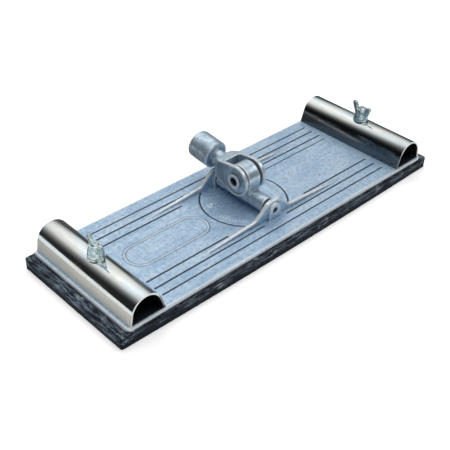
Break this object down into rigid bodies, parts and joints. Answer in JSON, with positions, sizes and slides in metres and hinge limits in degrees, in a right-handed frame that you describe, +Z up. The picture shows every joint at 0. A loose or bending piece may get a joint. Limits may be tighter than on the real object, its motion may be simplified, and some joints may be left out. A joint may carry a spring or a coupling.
{
  "type": "pole sander head",
  "caption": "Pole sander head: a ribbed cast plate on a rubber pad, a swivelling pole socket, and arched sheet clamps held down by wing nuts.",
  "frame": {"origin": "centre of the rubber pad's bottom face, on the work surface", "axes": "+X along the plate, +Y across it towards the pole socket at rest, +Z up out of the plate"},
  "size_m": [0.248, 0.087, 0.0387],
  "materials": {
    "foam_rubber": "matte, finely pitted",
    "cast_alloy": "satin, as cast",
    "swivel_alloy": "bright satin, tumbled casting",
    "clamp_chrome": "polished plating on rolled sheet",
    "plated_steel": "bright zinc plating",
    "pin_steel": "turned steel"
  },
  "bodies": {
    "base": {"base_plate": "cast_alloy", "rubber_pad": "foam_rubber", "base_pivot_pin": "pin_steel", "near_pivot_washer": "plated_steel", "far_pivot_washer": "plated_steel", "left_clamp_screw": "plated_steel", "right_clamp_screw": "plated_steel"},
    "knuckle": {"swivel_knuckle": "swivel_alloy"},
    "fork": {"fork_socket": "swivel_alloy", "fork_pivot_pin": "pin_steel", "left_fork_washer": "plated_steel", "right_fork_washer": "plated_steel"},
    "left_clamp": {"left_clamp": "clamp_chrome", "left_clamp_washer": "plated_steel"},
    "left_nut": {"left_wing_nut": "plated_steel"},
    "right_clamp": {"right_clamp": "clamp_chrome", "right_clamp_washer": "plated_steel"},
    "right_nut": {"right_wing_nut": "plated_steel"}
  },
  "joints": [
    {"name": "knuckle_tilt", "type": "hinge", "parent": "base", "child": "knuckle", "pos_m": [0, 0, 0.0156], "axis": [0, 1, 0], "range_deg": [-45, 45]},
    {"name": "fork_swing", "type": "hinge", "parent": "knuckle", "child": "fork", "pos_m": [0, 0, 0.0262], "axis": [1, 0, 0], "range_deg": [0, 168]},
    {"name": "left_clamp_lift", "type": "slide", "parent": "base", "child": "left_clamp", "axis": [0, 0, 1], "range_m": [0, 0.00397]},
    {"name": "left_nut_spin", "type": "hinge", "parent": "left_clamp", "child": "left_nut", "pos_m": [-0.10596, 0, 0.0251], "axis": [0, 0, 1], "range_deg": [0, 1800]},
    {"name": "right_clamp_lift", "type": "slide", "parent": "base", "child": "right_clamp", "axis": [0, 0, 1], "range_m": [0, 0.00397]},
    {"name": "right_nut_spin", "type": "hinge", "parent": "right_clamp", "child": "right_nut", "pos_m": [0.10596, 0, 0.0251], "axis": [0, 0, 1], "range_deg": [0, 1800]}
  ],
  "couplings": [
    {"joint": "left_nut_spin", "follows": "left_clamp_lift", "rad_per_m": 7915.8},
    {"joint": "right_nut_spin", "follows": "right_clamp_lift", "rad_per_m": 7915.8}
  ]
}
